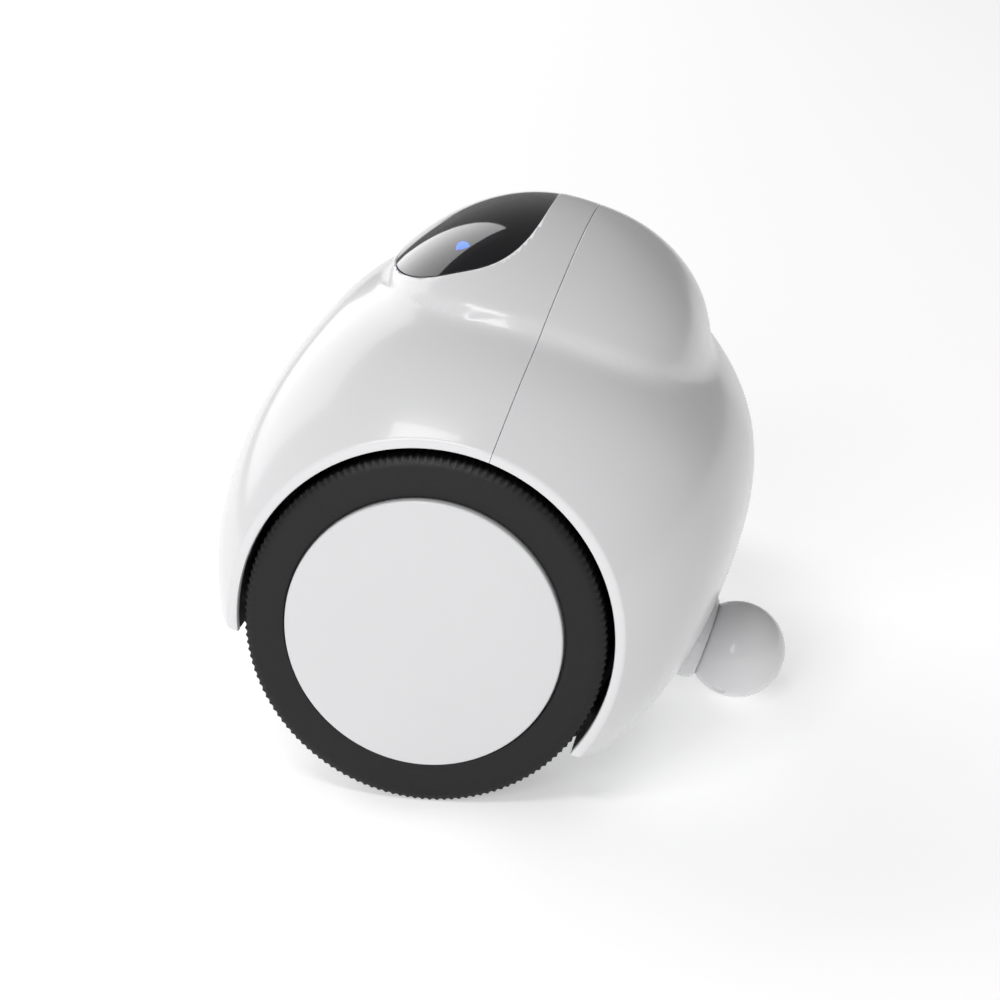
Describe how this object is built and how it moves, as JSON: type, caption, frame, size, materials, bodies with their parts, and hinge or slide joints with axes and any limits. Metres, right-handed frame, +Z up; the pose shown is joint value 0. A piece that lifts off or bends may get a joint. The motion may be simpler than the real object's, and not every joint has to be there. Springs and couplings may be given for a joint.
{
  "type": "two wheel robot car",
  "caption": "Small egg-shaped robot on two large side wheels with a rear ball caster, a domed head, a smoked visor and a status light.",
  "frame": {"origin": "middle of the robot's length and width, on the floor it stands on", "axes": "+X towards the robot's left wheel, -Y towards its front and visor, +Z up"},
  "size_m": [0.1816, 0.1571, 0.1507],
  "materials": {
    "shell_white": "gloss",
    "visor_smoke": "high gloss",
    "liner_black": "matt",
    "tyre_rubber": "satin",
    "disc_satin": "satin",
    "frame_grey": "matt",
    "steel": "brushed",
    "brass": "satin",
    "nylon": "satin",
    "board_green": "satin",
    "light_blue": "gloss",
    "battery_wrap": "satin"
  },
  "bodies": {
    "robot_body": {"front_shell": "shell_white", "rear_shell": "shell_white", "visor": "visor_smoke", "base_cover": "frame_grey", "frame_plate": "frame_grey", "caster_collar": "shell_white", "caster_seat": "nylon", "caster_magnet": "steel", "charge_port": "steel", "battery": "battery_wrap", "main_board": "board_green", "head_board": "board_green", "camera_barrel": "liner_black", "camera_lens": "visor_smoke", "status_light": "light_blue", "speaker": "liner_black", "base_screw_1": "steel", "base_screw_2": "steel", "base_screw_3": "steel", "base_screw_4": "steel", "left_arch_liner": "liner_black", "left_bush": "brass", "left_idler_pin": "steel", "left_motor": "steel", "left_gearbox_case": "frame_grey", "left_gearbox_cover": "frame_grey", "right_arch_liner": "liner_black", "right_bush": "brass", "right_idler_pin": "steel", "right_motor": "steel", "right_gearbox_case": "frame_grey", "right_gearbox_cover": "frame_grey"},
    "left_wheel": {"left_tyre": "tyre_rubber", "left_rim": "frame_grey", "left_hub_disc": "disc_satin", "left_wheel_shaft": "steel", "left_wheel_screw": "steel", "left_drive_gear": "nylon"},
    "right_wheel": {"right_tyre": "tyre_rubber", "right_rim": "frame_grey", "right_hub_disc": "disc_satin", "right_wheel_shaft": "steel", "right_wheel_screw": "steel", "right_drive_gear": "nylon"},
    "left_idler": {"left_idler_gear": "nylon"},
    "right_idler": {"right_idler_gear": "nylon"},
    "left_motor_pinion": {"left_pinion": "brass"},
    "right_motor_pinion": {"right_pinion": "brass"},
    "caster": {"caster_ball": "shell_white"},
    "button": {"power_button": "shell_white"}
  },
  "joints": [
    {"name": "left_wheel_spin", "type": "hinge", "parent": "robot_body", "child": "left_wheel", "pos_m": [0, -0.015, 0.05], "axis": [1, 0, 0], "continuous": true},
    {"name": "left_idler_spin", "type": "hinge", "parent": "robot_body", "child": "left_idler", "pos_m": [0, -0.00156, 0.05543], "axis": [1, 0, 0], "continuous": true},
    {"name": "left_pinion_spin", "type": "hinge", "parent": "robot_body", "child": "left_motor_pinion", "pos_m": [0, -0.00206, 0.06992], "axis": [1, 0, 0], "continuous": true},
    {"name": "right_wheel_spin", "type": "hinge", "parent": "robot_body", "child": "right_wheel", "pos_m": [0, -0.015, 0.05], "axis": [1, 0, 0], "continuous": true},
    {"name": "right_idler_spin", "type": "hinge", "parent": "robot_body", "child": "right_idler", "pos_m": [0, -0.00156, 0.05543], "axis": [1, 0, 0], "continuous": true},
    {"name": "right_pinion_spin", "type": "hinge", "parent": "robot_body", "child": "right_motor_pinion", "pos_m": [0, -0.00206, 0.06992], "axis": [1, 0, 0], "continuous": true},
    {"name": "caster_ball_roll", "type": "hinge", "parent": "robot_body", "child": "caster", "pos_m": [0, 0.06396, 0.0147], "axis": [1, 0, 0], "continuous": true},
    {"name": "power_button_press", "type": "slide", "parent": "robot_body", "child": "button", "axis": [0, -0.9511, 0.309], "range_m": [0, 0.0012], "stiffness_N_per_m": 400}
  ],
  "couplings": [
    {"joint": "left_idler_spin", "follows": "left_wheel_spin", "ratio": -3},
    {"joint": "left_pinion_spin", "follows": "left_wheel_spin", "ratio": 9},
    {"joint": "right_idler_spin", "follows": "right_wheel_spin", "ratio": -3},
    {"joint": "right_pinion_spin", "follows": "right_wheel_spin", "ratio": 9}
  ]
}
